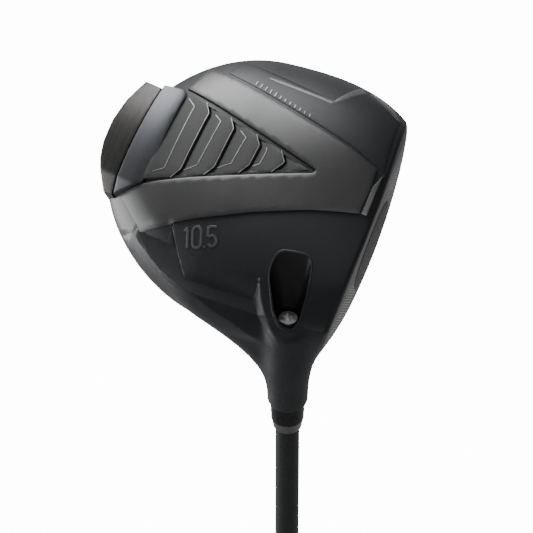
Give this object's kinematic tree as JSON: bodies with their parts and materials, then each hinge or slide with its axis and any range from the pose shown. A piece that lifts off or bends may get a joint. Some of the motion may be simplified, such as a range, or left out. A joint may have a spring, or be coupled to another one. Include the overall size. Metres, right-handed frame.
{
  "type": "golf driver",
  "caption": "Right-handed adjustable golf driver: hollow titanium and composite head, indexed hosel sleeve with clamp screw, tapered shaft and rubber grip.",
  "frame": {"origin": "on the shaft axis at the flat butt face of the grip cap", "axes": "+Z along the shaft axis from the grip to the head, +X toward the face and the target, +Y across the head from the heel side toward the toe"},
  "size_m": [0.111, 0.1036, 1.1854],
  "materials": {
    "body_paint": "satin black painted titanium casting",
    "face_titanium": "brushed dark titanium face",
    "crown_composite": "gloss clear-coated composite",
    "sole_composite": "satin grey composite",
    "heel_composite": "matte black composite",
    "insert_polymer": "matte dark grey moulded polymer",
    "trim_metal": "satin blue-grey metal",
    "weight_metal": "brushed dark gunmetal",
    "steel_bright": "bright machined steel",
    "retainer_polymer": "natural polymer ring",
    "sleeve_black": "gloss black anodised aluminium",
    "ferrule_black": "gloss black polymer",
    "shaft_graphite": "satin dark grey graphite composite",
    "plug_brass": "turned brass",
    "tape_cream": "double-sided grip tape",
    "grip_rubber": "textured black rubber",
    "cap_rubber": "smooth hard rubber"
  },
  "bodies": {
    "club": {"shaft": "shaft_graphite", "tip_plug": "plug_brass", "grip_tape": "tape_cream", "grip": "grip_rubber", "grip_cap": "cap_rubber", "ferrule": "ferrule_black", "hosel_sleeve": "sleeve_black", "index_ring": "sleeve_black"},
    "retainer": {"screw_retainer": "retainer_polymer"},
    "head": {"head_body": "body_paint", "face_plate": "face_titanium", "crown_panel": "crown_composite", "toe_sole_panel": "sole_composite", "heel_sole_panel": "heel_composite", "chevron_insert": "insert_polymer", "rear_trim": "trim_metal", "rear_weight": "weight_metal"},
    "washer": {"thrust_washer": "steel_bright"},
    "screw": {"hosel_screw": "steel_bright"}
  },
  "joints": [
    {"name": "head_pull", "type": "slide", "parent": "club", "child": "retainer", "axis": [0, 0, 1], "range_m": [0, 0.036]},
    {"name": "loft_turn", "type": "hinge", "parent": "retainer", "child": "head", "pos_m": [0, 0, 1.126], "axis": [0, 0, 1], "range_deg": [0, 45]},
    {"name": "screw_backout", "type": "slide", "parent": "head", "child": "washer", "axis": [0, 0, 1], "range_m": [0, 0.0112]},
    {"name": "screw_turn", "type": "hinge", "parent": "washer", "child": "screw", "pos_m": [0, 0, 1.1306], "axis": [0, 0, 1], "range_deg": [0, 5041]}
  ],
  "couplings": [
    {"joint": "loft_turn", "follows": "head_pull", "rad_per_m": 21.816},
    {"joint": "screw_turn", "follows": "screw_backout", "rad_per_m": 7854}
  ]
}
